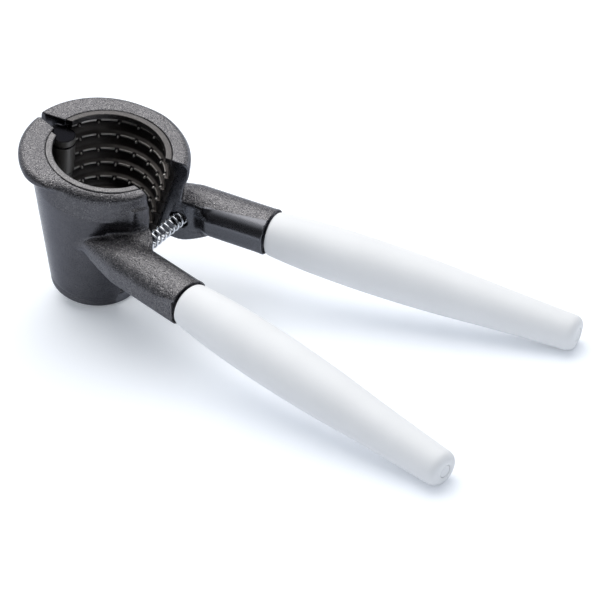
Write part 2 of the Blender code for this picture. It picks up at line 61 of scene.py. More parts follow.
lean = Matrix.Rotation(math.atan2(-hinge["axis"][0], -hinge["axis"][2]), 4, "Y")
pin_point = Vector((PIN_AXIS[0], PIN_AXIS[1], PIN_MIDDLE)) * MM
stance = Matrix.Translation(Vector(hinge["pos_m"]) - lean @ pin_point) @ lean

# The two cup halves are pressure castings, each with its arm, its web and its hinge leaves in one
# piece. Corners where two forms meet are filled with a fillet and outer edges are a little round.
# The outside is coated with dark hammered enamel; the split faces and the hinge are milled smooth.
GAP = 0.3
FOOT_RADIUS = 17.2
FOOT_HEIGHT = 5.0
FOOT_ASIDE = 0.2
FOOT_STEP = 0.2
FOOT_EDGE = 1.2
CONE_TOP = 55.6
CONE_TOP_RADIUS = 28.1
CONE_TOP_SHIFT = (1.7, 0.8)
CONE_LEAN = 0.98
RIM_RADIUS = 31.0
RIM_TOP = 64.0
RIM_ROUND = 3.0
RIM_EDGE = 1.8
RIM_FILLET = 0.9
RIM_FILLET_FRONT = 4.6
# The near half's front wall at three places along X: its widest radius, how it draws in below and
# above that height, and the roundness of its lip.
FRONT_WALL_LOW = 42.0
FRONT_WALL_WIDEST = 53.0
FRONT_WALL_X = (19.0, 24.0, 27.5)
FRONT_WALL_RADIUS = (27.6, 28.3, 29.8)
FRONT_WALL_FLARE = (0.196, 0.14, 0.03)
FRONT_WALL_SLOPE = (0.13, 0.15, 0.25)
FRONT_WALL_EDGE = (4.6, 3.4, 1.0)
FRONT_WALL_TURN = 1.5
FRONT_WALL_LEAN = 0.97
# The pocket for the liner, as (height, radius), and the split that parts the halves.
POCKET_CENTRE = (2.1, 1.0)
POCKET = [(9.0, 14.6), (20.0, 17.6), (31.3, 20.0), (56.0, 24.8), (59.0, 24.8), (60.2, 23.4), (66.0, 23.4)]
SPLIT_CORNER = (-28.4, -0.9)
NEAR = {"side": -1, "split": math.radians(-7.3), "floor": 4.0, "relief": (0.0, 0.6)}
FAR = {"side": 1, "split": math.radians(14.0), "floor": 5.3, "relief": (2.3, 2.6)}
RELIEF_END = -14.0
# An arm grows from its root to its full radius. Its section is a crown over a flat band over a
# flatter belly. The far arm's visible part starts with a rounded nose.
ARM_START = (0.0, 16.3, 36.2)
ARM_END = (61.8, 25.4, 42.8)
ARM_RADIUS = 8.7
ARM_LENGTH = 62.3
ARM_HIGHEST = 51.0
ARM_ROOT = 3.0
ARM_ROOT_RADIUS = 2.6
ARM_SWELL = 27.0
ARM_BAND = 0.19
ARM_CROWN = 0.79
ARM_BELLY = 0.59
ARM_SLOPE = 0.85
ARM_EDGE = 0.3
COLLAR_START = 3.4
COLLAR_RUN = 3.0
COLLAR_RISE = 0.15
RECESS_SHARE = 0.9
RECESS_DEPTH = 1.3
RECESS_SLOPE = 0.8
RECESS_EDGE = 0.25
FAR_ARM_END = 48.0
NOSE_START = 32.0
NOSE_LENGTH = 8.0
NOSE_FILLET = 2.6
TANG_BORE = 2.9
TANG_BORE_START = 47.0
# The webs at places along X: lower and upper edge, and how far the face has swept from the split
# toward the arm at its top and at its foot.
WEB_X = (14.0, 24.0, 29.0, 32.0, 35.0, 38.0, 41.0)
WEB_LOW = (30.0, 27.0, 27.0, 28.6, 30.4, 32.4, 34.0)
WEB_LOW_SHARE = (0.0, 0.0, 0.0, 0.0, 0.0, 0.12, 0.4)
NEAR["web_high"] = (45.6, 48.2, 49.6, 47.2, 46.2, 46.8, 48.0)
FAR["web_high"] = (46.0, 45.8, 45.9, 46.6, 47.1, 47.7, 48.2)
NEAR["web_share"] = (0.0, 0.0, 0.0, 0.0, 0.36, 0.7, 0.85)
FAR["web_share"] = (0.0, 0.0, 0.05, 0.24, 0.47, 0.7, 0.83)
WEB_TOP = 0.9
WEB_FILLET = 1.2
WEB_EDGE = 0.6
BEYOND_SPLIT = 2.0
# The thick edge of the cup beside the open split, and the crest where the cup meets the arm.
POST_Z = (27.2, 33.0, 40.0, 46.0, 50.0, 53.0, 58.4)
POST_X = (22.2, 24.9, 26.3, 27.4, 28.9, 29.8, 30.0)
POST_BACK = 18.0
POST_DEPTH = 6.5
NEAR["post_reach"] = 30.3
FAR["post_reach"] = 30.9
NEAR["post_fillet"] = 0.8
FAR["post_fillet"] = 3.5
POST_EDGE = 1.0
CREST = 0.42
CREST_START = 4.0
CREST_RISE = 2.0
CREST_RUN = 4.0
CREST_FILLET = 0.3
CREST_BLEND = 0.15
LIMB_FILLET = 2.4
SPLIT_EDGE = 0.6
POCKET_LEAN = 0.97
POCKET_EDGE = 0.15
# The spring's seats and the hinge.
SEAT = (27.0, 36.7)
SEAT_RADIUS = 3.6
SEAT_DEPTH = 4.0
SEAT_EDGE = 0.35
KNUCKLE_RADIUS = 4.6
KNUCKLE = (44.8, 57.6)
LOWER_TAB_RADIUS = 4.0
LOWER_TAB = (41.9, 44.5)
UPPER_TAB = (57.9, 61.1)
HINGE_SPACE = (38.6, 61.4)
LEAF_ROOM = 0.36
LEAF_ROOM_EDGE = 0.4
LEAF_LENGTH = 6.5
LEAF_TURN = 15.0
LEAF_NECK = 0.7
LEAF_EDGE = 0.5
LEAF_FILLET = 0.3
PIN_BORE = 2.3
BLIND_BORE_TOP = 59.9
CASTING_STEP = 0.38
# Colours of the enamel's two tones, its raised grains, the milled faces, the knuckle, and the knuckle's top
# painted as shade.
ENAMEL_DARK = ((0.040, 0.040, 0.047), (0.058, 0.058, 0.066))
# The raised grains' colour is their own tone and a painted highlight: they get brighter where they face up.
GRAIN_TONE_AND_HIGHLIGHT = (0.23, 0.226, 0.232)
MILLED = (0.115, 0.118, 0.132)
BARREL = (0.26, 0.25, 0.24)
BARREL_ROUGHNESS = (0.6, 0.6, 0.6)
# The knuckle's top is painted near black: painted shade, deep inside the cup.
HINGE_TOP_SHADE = (0.005, 0.005, 0.006)
ENAMEL_GRAINS = 1800.0
ENAMEL_RELIEF = 0.0002


def filled(a, b, fillet):
    """Joins two forms, with a fillet in the corner between them. A form is a distance, below 0 inside."""
    h = np.clip(0.5 + 0.5 * (b - a) / fillet, 0.0, 1.0)
    return b + (a - b) * h - fillet * h * (1.0 - h)


def kept(a, b, edge):
    """What lies in both forms, with the edge between them rounded."""
    return -filled(-a, -b, edge)


def set_down(name, mesh):
    """A piece from a mesh in metres round the foot, in the tool's place."""
    mesh.transform(stance)
    made = bpy.data.objects.new(name, mesh)
    bpy.context.scene.collection.objects.link(made)
    return made


def cast(name, low, high, step, form):
    """Skin of a solid form(x, y, z), which is negative inside, as an object in the tool's place."""
    x, y, z = np.ix_(*[np.arange(a, b, step, dtype=np.float32) for a, b in zip(low, high)])
    field = np.clip(form(x, y, z), -3 * step, 3 * step).astype(np.float32)
    grid = openvdb.FloatGrid(3 * step)
    grid.copyFromArray(field)
    points, faces = grid.convertToQuads(0.0)
    points = points * step + np.array(low, np.float32)
    a, b, c = (points[faces[:, i]] for i in range(3))
    if np.einsum("ij,ij->", a, np.cross(b, c)) < 0:
        faces = faces[:, ::-1]
    mesh = bpy.data.meshes.new(name)
    mesh.from_pydata(points * MM, [], faces)
    mesh.shade_smooth()
    return set_down(name, mesh)


def arm_frame(side):
    """Start of an arm's axis and the directions along it, across it and up from it."""
    start = Vector((ARM_START[0], side * ARM_START[1], ARM_START[2]))
    end = Vector((ARM_END[0], side * ARM_END[1], ARM_END[2]))
    along = (end - start).normalized()
    across = Vector((0, 0, 1)).cross(along).normalized()
    return start, along, across, along.cross(across)


def in_half(half, x, y):
    """Distance from the split face into one half, in plan."""
    side, angle = half["side"], half["split"]
    leaning = (y - SPLIT_CORNER[1]) * math.cos(angle) - (x - SPLIT_CORNER[0]) * math.sin(angle)
    relief = np.interp(x, (SPLIT_CORNER[0], PIN_AXIS[0], RELIEF_END), (*half["relief"], 0.0))
    return side * np.where(x < SPLIT_CORNER[0], y - SPLIT_CORNER[1], leaning) - GAP / 2 - relief


def split_depth(half, x):
    """How far the split face lies from the middle plane, measured toward the half."""
    return half["side"] * (SPLIT_CORNER[1] + math.tan(half["split"]) * (x - SPLIT_CORNER[0]))


def round_pin(x, y):
    """Distance from the pin's axis."""
    return np.hypot(x - PIN_AXIS[0], y - PIN_AXIS[1])


def from_pin(half, x, y, degrees):
    """How far each place lies from the pin toward a half's wall, and how far aside."""
    turn = math.radians(180.0 - half["side"] * degrees)
    out, off = (x - PIN_AXIS[0], y - PIN_AXIS[1])
    reach = out * math.cos(turn) + off * math.sin(turn)
    return reach, np.abs(off * math.cos(turn) - out * math.sin(turn))


def hinge_leaf(half, x, y, radius, neck):
    """An eye round the pin with a neck back to the cup wall, in plan."""
    reach, aside = from_pin(half, x, y, LEAF_TURN)
    stem = np.maximum(aside - neck, np.maximum(-reach, reach - LEAF_LENGTH))
    return filled(round_pin(x, y) - radius, stem, 0.6)


def slab(z, low, high):
    """What lies between two heights."""
    return np.maximum(low - z, z - high)


def softened(x, places, values, spread=2.0):
    """Value at x between the places of a table, without a kink at any of them."""
    offsets = np.linspace(-spread, spread, 9)
    return (sum(np.interp(x + offset, places, values) for offset in offsets) / 9).astype(np.float32)


def toward_grips(x, from_axis):
    """0 on the hinge side of the cup, and 1 round its front to where the split opens."""
    turned = np.clip((x / np.maximum(from_axis, 1.0) + 0.5) / 0.75, 0.0, 1.0)
    return turned * turned * (3.0 - 2.0 * turned)


def cup_outside(half, x, y, z, from_axis):
    """The cup's cone and lip: a round bead by the hinge, and at the near front the plain wall."""
    share = z / CONE_TOP
    from_middle = np.hypot(x - CONE_TOP_SHIFT[0] * share, y - FOOT_ASIDE - CONE_TOP_SHIFT[1] * share)
    wall = CONE_LEAN * (from_middle - FOOT_RADIUS - (CONE_TOP_RADIUS - FOOT_RADIUS) * share)
    cone = kept(wall, slab(z, half["floor"], RIM_TOP - RIM_ROUND), 0.5)
    front = toward_grips(x, from_axis)
    if half["side"] > 0:
        square = kept(from_axis - RIM_RADIUS, slab(z, RIM_TOP - 2 * RIM_ROUND, RIM_TOP), RIM_EDGE)
        return filled(cone, square, RIM_FILLET + RIM_FILLET_FRONT * front)
    disc = np.maximum(from_axis - RIM_RADIUS + RIM_ROUND, 0.0)
    beaded = filled(cone, np.hypot(disc, z - RIM_TOP + RIM_ROUND) - RIM_ROUND, RIM_FILLET)
    radius, flare, slope, edge = (
        softened(x, FRONT_WALL_X, values)
        for values in (FRONT_WALL_RADIUS, FRONT_WALL_FLARE, FRONT_WALL_SLOPE, FRONT_WALL_EDGE)
    )
    over = z - FRONT_WALL_WIDEST
    turn = np.hypot(over, FRONT_WALL_TURN)
    drawn_in = 0.5 * slope * (turn + over) + 0.5 * flare * (turn - over)
    plain = FRONT_WALL_LEAN * (from_middle - radius + drawn_in)
    plain = kept(plain, slab(z, FRONT_WALL_LOW, RIM_TOP), edge)
    plain = filled(kept(wall, slab(z, half["floor"], FRONT_WALL_WIDEST), 0.2), plain, 0.3)
    return beaded + (plain - beaded) * front


def arm_places(side, x, y, z):
    """How far each place lies along an arm's axis, across it and up from it."""
    start, *directions = arm_frame(side)
    dx, dy, dz = (x - start.x, y - start.y, z - start.z)
    return [dx * way.x + dy * way.y + dz * way.z for way in directions]


def arm_middle(x):
    """How far out an arm's axis lies at x, and how high it is there."""
    return [a + (b - a) * x / ARM_END[0] for a, b in zip(ARM_START[1:], ARM_END[1:])]


def arm_section(length, aside, height):
    """Place in an arm's section, where 1 is its skin, and the arm's half width at that length."""
    ramp = np.clip((length - ARM_ROOT) / ARM_SWELL, 0.0, 1.0)
    lip = np.clip((length - ARM_LENGTH + COLLAR_START) / COLLAR_RUN, 0.0, 1.0)
    swell = (ARM_RADIUS - ARM_ROOT_RADIUS) * ramp * (1.4 - 0.4 * ramp)
    size = ARM_ROOT_RADIUS + swell + COLLAR_RISE * lip * lip
    crown = np.hypot(aside / size, np.maximum(height - ARM_BAND * size, 0.0) / (ARM_CROWN * size))
    drop = np.maximum(-height - ARM_BAND * size, 0.0) / (ARM_BELLY * size)
    belly = ((np.abs(aside) / size) ** 2.5 + drop**2.5) ** 0.4
    return np.maximum(crown, belly), size


def web_form(half, x, y, z):
    """The web from an arm to the split. Toward the grips its face sweeps back to the arm."""
    side, split = (half["side"], split_depth(half, x))
    middle, axis_height = arm_middle(x)
    low, high, top_share, low_share = (
        softened(x, WEB_X, values)
        for values in (WEB_LOW, half["web_high"], half["web_share"], WEB_LOW_SHARE)
    )
    rise = np.clip((z - low) / (high - low), 0.0, 1.0)
    sweep = split + (low_share + (top_share - low_share) * rise) * (middle - split)
    edge = split + top_share * (middle - split)
    toward_arm = np.clip((side * y - edge) / (middle - edge), 0.0, 1.0)
    top = high + (axis_height + WEB_TOP * ARM_RADIUS - high) * toward_arm
    web = np.maximum(0.97 * (z - top), 0.9 * (low - z))
    web = kept(web, sweep - BEYOND_SPLIT * (sweep == split) - side * y, WEB_EDGE)
    return kept(web, np.maximum(side * y - middle, slab(x, WEB_X[0], WEB_X[-1])), 0.8)


def post_form(half, x, y, z, from_axis):
    """The thick upright edge of the cup beside the split's open end."""
    edge_x = np.interp(z, POST_Z, POST_X).astype(np.float32)
    behind = half["side"] * y - split_depth(half, x) - POST_DEPTH
    post = np.maximum(x - edge_x, np.maximum(POST_BACK - x, behind))
    post = kept(post, from_axis - half["post_reach"], POST_EDGE)
    return kept(post, slab(z, POST_Z[0], POST_Z[-1]), POST_EDGE)


def with_hinge(half, body, x, y, z):
    """A half with room for the other half's hinge leaves, its own leaves, and the pin's bore."""
    eye = round_pin(x, y)
    wide, narrow = (KNUCKLE_RADIUS + LEAF_ROOM, LOWER_TAB_RADIUS + LEAF_ROOM)
    if half["side"] < 0:
        room = ((wide, KNUCKLE[1], HINGE_SPACE[1]), (narrow, HINGE_SPACE[0], KNUCKLE[0]))
        leaves = ((KNUCKLE_RADIUS, KNUCKLE),)
        bore_top = RIM_TOP
    else:
        room = ((wide, LOWER_TAB[1], UPPER_TAB[0]), (narrow, HINGE_SPACE[0], LOWER_TAB[0]))
        leaves = ((KNUCKLE_RADIUS, UPPER_TAB), (LOWER_TAB_RADIUS, LOWER_TAB))
        bore_top = BLIND_BORE_TOP
    for clear, low_end, high_end in room:
        cut = np.maximum(eye - clear, slab(z, low_end, high_end))
        body = kept(body, -cut, LEAF_ROOM_EDGE)
    for radius, ends in leaves:
        leaf = kept(hinge_leaf(half, x, y, radius, radius - LEAF_NECK), slab(z, *ends), LEAF_EDGE)
        body = filled(body, leaf, LEAF_FILLET)
    return np.maximum(body, -np.maximum(eye - PIN_BORE, slab(z, HINGE_SPACE[0], bore_top)))


def casting(half):
    """Form of one half of the cup with its arm."""
    side = half["side"]

    def form(x, y, z):
        from_axis = np.hypot(x, y)
        body = cup_outside(half, x, y, z, from_axis)
        body = filled(body, post_form(half, x, y, z, from_axis), half["post_fillet"])

        length, aside, height = arm_places(side, x, y, z)
        section, size = arm_section(length, aside, height)
        arm = ARM_SLOPE * (section - 1.0) * size
        arm = kept(arm, slab(length, ARM_ROOT, ARM_LENGTH), ARM_EDGE)
        if side > 0:
            arm = kept(arm, length - FAR_ARM_END, ARM_EDGE)
        limb = filled(arm, web_form(half, x, y, z), WEB_FILLET)

        axis_height = arm_middle(x)[1]
        over = np.clip((z - axis_height) / CREST_RUN, 0.0, 1.0)
        crest = np.maximum(np.hypot(body, limb) - CREST, slab(x, CREST_START, WEB_X[-1]))
        crest = np.maximum(crest, axis_height + CREST_RISE - z)
        body = filled(body, limb, LIMB_FILLET + (CREST_FILLET - LIMB_FILLET) * over)
        body = filled(body, crest, CREST_BLEND)

        hollow = np.interp(z, *zip(*POCKET)).astype(np.float32)
        pocket = np.hypot(x - POCKET_CENTRE[0], y - POCKET_CENTRE[1]) - hollow
        body = kept(body, -np.maximum(POCKET_LEAN * pocket, POCKET[0][0] - z), POCKET_EDGE)
        body = kept(body, -in_half(half, x, y), SPLIT_EDGE)
        if side < 0:
            foot = np.hypot(x, y - FOOT_ASIDE) - FOOT_RADIUS - FOOT_STEP
            body = np.minimum(body, kept(foot, slab(z, 0.0, FOOT_HEIGHT), FOOT_EDGE))
        else:
            bulge = np.maximum(NOSE_START + NOSE_LENGTH - length, 0.0) / NOSE_LENGTH
            nose = ARM_SLOPE * (np.hypot(section, bulge) - 1.0) * size
            by_split = np.clip(1.0 - in_half(half, x, y), 0.02, 1.0)
            by_start = np.clip((NOSE_START + NOSE_LENGTH + 1.0 - length) / 4.0, 0.02, 1.0)
            nose = kept(nose, length - ARM_LENGTH, ARM_EDGE)
            body = filled(body, nose, NOSE_FILLET * by_split * by_start)

        recess = RECESS_SLOPE * (section - RECESS_SHARE) * size
        recess = kept(recess, ARM_LENGTH - RECESS_DEPTH - length, ARM_EDGE)
        body = kept(body, -recess, RECESS_EDGE)
        body = np.maximum(body, -np.maximum(np.hypot(aside, height) - TANG_BORE, TANG_BORE_START - length))
        seat = np.hypot(x - SEAT[0], z - SEAT[1]) - SEAT_RADIUS
        body = kept(body, -np.maximum(seat, side * y - split_depth(half, x) - SEAT_DEPTH), SEAT_EDGE)
        return with_hinge(half, body, x, y, z)

    return form


def note(piece, name, values):
    """A value at each point of a piece's mesh that its material reads."""
    layer = piece.data.attributes.new(name, "FLOAT", "POINT")
    layer.data.foreach_set("value", np.ascontiguousarray(values, np.float32).ravel())


def places(piece):
    """Where each point of a piece is, in millimetres round the foot."""
    points = np.empty(len(piece.data.vertices) * 3)
    piece.data.vertices.foreach_get("co", points)
    back = np.array(stance.inverted())
    return (back[:3, :3] @ points.reshape(-1, 3).T + back[:3, 3:]) / MM


def upward(piece):
    """How much each point of a piece faces up the cup, from -1 to 1."""
    normals = np.empty(len(piece.data.vertices) * 3, np.float32)
    piece.data.vertex_normals.foreach_get("vector", normals)
    return normals.reshape(-1, 3) @ np.array(stance)[:3, 2]


def new_group(name, inputs, outputs):
    group = bpy.data.node_groups.new(name, "ShaderNodeTree")
    for label, kind, value in inputs:
        socket = group.interface.new_socket(label, in_out="INPUT", socket_type=kind)
        if value is not None:
            socket.default_value = value
    for label, kind in outputs:
        group.interface.new_socket(label, in_out="OUTPUT", socket_type=kind)
    return group, group.nodes.new("NodeGroupInput"), group.nodes.new("NodeGroupOutput")


def speckle_group():
    """Hammered enamel and cast skin: raised grains of one size, each with its own tone."""
    group, ins, outs = new_group(
        "Speckle",
        [("Place", "NodeSocketVector", None), ("Grains per metre", "NodeSocketFloat", 2000.0)],
        [("Grain", "NodeSocketFloat"), ("Tone", "NodeSocketFloat"), ("Cloud", "NodeSocketFloat")],
    )
    add, link = (group.nodes.new, group.links.new)
    cells = add("ShaderNodeTexVoronoi")
    cells.feature = "SMOOTH_F1"
    cells.inputs["Smoothness"].default_value = 0.6
    cells.inputs["Randomness"].default_value = 1.0
    noise = add("ShaderNodeTexNoise")
    noise.inputs["Detail"].default_value = 2.0
    tone = add("ShaderNodeTexWhiteNoise")
    tone.noise_dimensions = "3D"
    cloud = add("ShaderNodeTexNoise")
    cloud.inputs["Scale"].default_value = 160.0
    cloud.inputs["Detail"].default_value = 3.0
    finer = add("ShaderNodeMath")
    finer.operation = "MULTIPLY"
    finer.inputs[1].default_value = 1.7
    height = add("ShaderNodeMath")
    height.operation = "SUBTRACT"
    link(ins.outputs["Grains per metre"], cells.inputs["Scale"])
    link(ins.outputs["Grains per metre"], finer.inputs[0])
    link(finer.outputs[0], noise.inputs["Scale"])
    for node in (cells, noise, cloud):
        link(ins.outputs["Place"], node.inputs["Vector"])
    link(noise.outputs["Fac"], height.inputs[0])
    link(cells.outputs["Distance"], height.inputs[1])
    link(cells.outputs["Position"], tone.inputs["Vector"])
    link(height.outputs[0], outs.inputs["Grain"])
    link(tone.outputs["Value"], outs.inputs["Tone"])
    link(cloud.outputs["Fac"], outs.inputs["Cloud"])
    return group


speckle = speckle_group()


def started(name):
    """A new material with its shader, its node tree and the piece's own coordinates."""
    made = bpy.data.materials.new(name)
    made.use_nodes = True
    tree = made.node_tree
    return made, tree, tree.nodes["Principled BSDF"], tree.nodes.new("ShaderNodeTexCoord")


def mixed(tree, factor, first, second, low=0.0, high=1.0):
    """A colour between two, by a factor that is stretched from low to high."""
    spread = tree.nodes.new("ShaderNodeMapRange")
    spread.inputs["From Min"].default_value = low
    spread.inputs["From Max"].default_value = high
    tree.links.new(factor, spread.inputs["Value"])
    mix = tree.nodes.new("ShaderNodeMix")
    mix.data_type = "RGBA"
    tree.links.new(spread.outputs["Result"], mix.inputs["Factor"])
    for end, socket in ((first, mix.inputs["A"]), (second, mix.inputs["B"])):
        if isinstance(end, tuple):
            socket.default_value = (*end, 1.0)
        else:
            tree.links.new(end, socket)
    return mix.outputs["Result"]


def ranged(tree, factor, low, high, to_low, to_high):
    spread = tree.nodes.new("ShaderNodeMapRange")
    for label, value in (("From Min", low), ("From Max", high), ("To Min", to_low), ("To Max", to_high)):
        spread.inputs[label].default_value = value
    tree.links.new(factor, spread.inputs["Value"])
    return spread.outputs["Result"]


def times(tree, first, second):
    node = tree.nodes.new("ShaderNodeMath")
    node.operation = "MULTIPLY"
    tree.links.new(first, node.inputs[0])
    tree.links.new(second, node.inputs[1])
    return node.outputs[0]


def noted(tree, name):
    node = tree.nodes.new("ShaderNodeAttribute")
    node.attribute_name = name
    return node.outputs["Fac"]


def speckled(tree, coordinates, grains):
    node = tree.nodes.new("ShaderNodeGroup")
    node.node_tree = speckle
    node.inputs["Grains per metre"].default_value = grains
    tree.links.new(coordinates.outputs["Object"], node.inputs["Place"])
    return node.outputs


def bumped(tree, height, depth, shader):
    bump = tree.nodes.new("ShaderNodeBump")
    bump.inputs["Strength"].default_value = 1.0
    bump.inputs["Distance"].default_value = depth
    tree.links.new(height, bump.inputs["Height"])
    tree.links.new(bump.outputs["Normal"], shader.inputs["Normal"])


def hammered_enamel():
    made, tree, shader, coordinates = started("Hammered enamel")
    grains = speckled(tree, coordinates, ENAMEL_GRAINS)
    grain_and_top_light = noted(tree, "hammered")
    # Painted highlight: the grains get brighter the more the surface faces up, on top of their own random
    # tone.
    tone = times(tree, ranged(tree, grains["Tone"], 0.55, 0.75, 0.0, 1.0), grain_and_top_light)
    dark = mixed(tree, grains["Cloud"], *ENAMEL_DARK, 0.3, 0.7)
    paint = mixed(tree, tone, dark, GRAIN_TONE_AND_HIGHLIGHT)
    paint = mixed(tree, noted(tree, "milled"), paint, MILLED)
    leaf = mixed(tree, noted(tree, "barrel"), paint, BARREL)
    # Painted shade: the hinge's tops that face up turn near black and lose their coat.
    colour = mixed(tree, noted(tree, "hinge_top_shade"), leaf, HINGE_TOP_SHADE)
    tree.links.new(colour, shader.inputs["Base Color"])
    satin = ranged(tree, grains["Tone"], 0.0, 1.0, 0.22, 0.32)
    tree.links.new(mixed(tree, noted(tree, "barrel"), satin, BARREL_ROUGHNESS), shader.inputs["Roughness"])
    shader.inputs["Metallic"].default_value = 1.0
    shader.inputs["Specular Tint"].default_value = (0.5, 0.51, 0.55, 1.0)
    tree.links.new(ranged(tree, noted(tree, "hinge_top_shade"), 0.0, 1.0, 0.3, 0.0), shader.inputs["Coat Weight"])
    shader.inputs["Coat Roughness"].default_value = 0.16
    bumped(tree, times(tree, grains["Grain"], grain_and_top_light), ENAMEL_RELIEF, shader)
    return made


enamel = hammered_enamel()
for name, half, low, high in (
    ("near_casting", NEAR, (-32.4, -32.4, -1.2), (64.2, 5.4, 65.4)),
    ("far_casting", FAR, (-32.4, -6.6, 3.6), (64.2, 36.0, 65.4)),
):
    piece = cast(name, low, high, CASTING_STEP, casting(half))
    x, y, z = places(piece)
    milled = np.clip(1.6 - in_half(half, x, y) / 0.35, 0.0, 1.0)
    by_pin = round_pin(x, y) < KNUCKLE_RADIUS + 0.9
    in_hinge = by_pin & (z < HINGE_SPACE[1] + 0.3)
    milled = np.maximum(milled, in_hinge)
    note(piece, "milled", milled * (x > RELIEF_END))
    facing_up = np.clip(2.0 * upward(piece) - 0.5, 0.0, 1.0)
    on_arm = np.clip((np.hypot(x, y) - CONE_TOP_RADIUS + 0.1) / 1.5, 0.0, 1.0) * (z < ARM_HIGHEST)
    # Grains get brighter with how much a place faces up, as a painted highlight from the lamp above, and stay
    # strong all over the arms.
    grain_and_top_light = np.maximum(np.clip(0.3 + 0.95 * upward(piece), 0.2, 1.0), 0.85 * on_arm)
    note(piece, "hammered", (1.0 - milled) * grain_and_top_light)
    note(piece, "barrel", by_pin * (z < HINGE_SPACE[1]) * (1.0 - facing_up))
    # The hinge's up-facing tops get painted shade.
    note(piece, "hinge_top_shade", in_hinge * facing_up)
    piece.data.materials.append(enamel)
    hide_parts("near_jaw" if half is NEAR else "far_jaw")
    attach(piece, "near_side" if half is NEAR else "far_side")

# The liners are cast steel half rings, pressed into the cup. Each step narrows the cup for a smaller
# nut and has a round biting edge with pointed teeth; a notch either side of a tooth breaks the edge.
# A flat bead closes them at the top. They are oil blacked; the edges are painted brighter, as wear and as a
# painted highlight.
STEP_COUNT = 8
FIRST_STEP = 60.2
STEP_PITCH = 6.0
FIRST_STEP_RADIUS = 22.1
STEP_INSET = 1.14
LINER_FLOOR = 9.3
PRESSED_GAP = 0.08
BEAD_RADII = (20.8, 23.32)
BEAD_Z = (61.6, 64.0)
BEAD_ROUND = 0.3
RING_EDGE = 0.4
TOOTH_ANGLE = math.radians(20.0)
TOOTH_SIZE = (0.5, 0.62, 1.0)
TOOTH_DROP = 0.95
TOOTH_INSET = 0.35
NOTCH_SIZE = (0.75, 1.0, 0.6)
NOTCH_DROP = 0.1
NEAR["teeth"] = math.radians(6.0)
FAR["teeth"] = math.radians(-1.5)
STEP_SHAPE = [(0.0, 0.0), (0.07, 0.04), (0.17, 0.42), (0.3, 0.75)]
STEP_SHAPE += [(0.6, 0.9), (0.84, 0.65), (0.9, 0.3), (1.0, -STEP_INSET)]
LEDGE_REACH = 3.4
LEDGE_HALF = 0.28
LEDGE_DEPTH = (0.05, 1.75)
HINGE_ROOM = 5.05
HINGE_ROOM_TURN = 9.5
LINER_STEP = 0.25
BLACKED = ((0.036, 0.033, 0.032), (0.062, 0.057, 0.054))
EDGE_WEAR_AND_HIGHLIGHT = (0.62, 0.6, 0.58)
BEAD_COAT = ((0.07, 0.07, 0.075), (0.22, 0.217, 0.22))
LINER_GRAINS = 2100.0
LINER_RELIEF = 0.00009


def step_profile(z):
    """Inner radius of a liner at each height, and its slope."""
    down = np.clip((FIRST_STEP - z) / STEP_PITCH, -0.2, STEP_COUNT - 0.12)
    step = np.maximum(np.floor(down), 0.0)
    crest = FIRST_STEP_RADIUS - STEP_INSET * step
    radius = crest + np.interp(down - step, *zip(*STEP_SHAPE))
    radius = np.where(down < 0, crest - 2.0 * down, radius)
    return radius, np.gradient(radius, z)


def stepped_wall(half, x, y, z):
    """A liner's steps with their notches and teeth, and each place's radius and nearest crest."""
    inner, slope = (values.astype(np.float32).reshape(z.shape) for values in step_profile(z.ravel()))
    dx, dy = (x - POCKET_CENTRE[0], y - POCKET_CENTRE[1])
    radius = np.hypot(dx, dy)
    turn = np.arctan2(dy, dx) - half["teeth"]
    off = (turn - TOOTH_ANGLE * np.round(turn / TOOTH_ANGLE)) * radius
    wall = (inner - radius) / np.sqrt(1.0 + np.minimum(slope * slope, 9.0))
    nearest = np.clip(np.round((FIRST_STEP - z) / STEP_PITCH), 0, STEP_COUNT - 1)
    below = FIRST_STEP - STEP_PITCH * nearest - z
    at_crest = radius - (FIRST_STEP_RADIUS - STEP_INSET * nearest)
    width, drop, reach = NOTCH_SIZE
    notch = np.maximum(np.abs(below - NOTCH_DROP) - drop, at_crest - reach)
    wall = kept(wall, -np.maximum(np.abs(off) - width, notch), 0.3)
    width, drop, reach = TOOTH_SIZE
    tooth = (off / width) ** 2 + ((below - TOOTH_DROP) / drop) ** 2
    tooth = np.sqrt(tooth + ((at_crest - TOOTH_INSET) / reach) ** 2)
    return filled(wall, 0.5 * (tooth - 1.0), 0.2), radius, below, at_crest


def liner(half):
    """Form of one half of the stepped ring, with its bead, its split face and room for the hinge."""

    def form(x, y, z):
        wall, radius, below, at_crest = stepped_wall(half, x, y, z)
        outer = np.interp(z, *zip(*POCKET)).astype(np.float32) - PRESSED_GAP
        ring = kept(wall, radius - outer, RING_EDGE)
        ring = kept(ring, slab(z, LINER_FLOOR, BEAD_Z[0] + 1.0), 0.3)
        bead = kept(slab(radius, *BEAD_RADII), slab(z, *BEAD_Z), BEAD_ROUND)
        ring = filled(ring, bead, 0.7)

        depth = in_half(half, x, y)
        ring = kept(ring, 0.35 - depth, 0.35)
        ledge = np.maximum(np.abs(below) - LEDGE_HALF, np.maximum(at_crest - LEDGE_REACH, radius - outer))
        ledge = np.maximum(ledge, np.maximum(0.2 - at_crest, slab(depth, *LEDGE_DEPTH)))
        ring = filled(ring, ledge, 0.3)

        if half["side"] < 0:
            knuckle = np.maximum(round_pin(x, y) - KNUCKLE_RADIUS, KNUCKLE[0] - z)
            ring = kept(ring, -knuckle, 0.5)
        reach, across = from_pin(half, x, y, HINGE_ROOM_TURN)
        room = np.maximum(across - HINGE_ROOM - 0.45 * np.maximum(reach, 0.0), -reach)
        room = np.minimum(room, round_pin(x, y) - HINGE_ROOM)
        return kept(ring, -np.maximum(room, slab(z, *HINGE_SPACE)), 0.5)

    return form


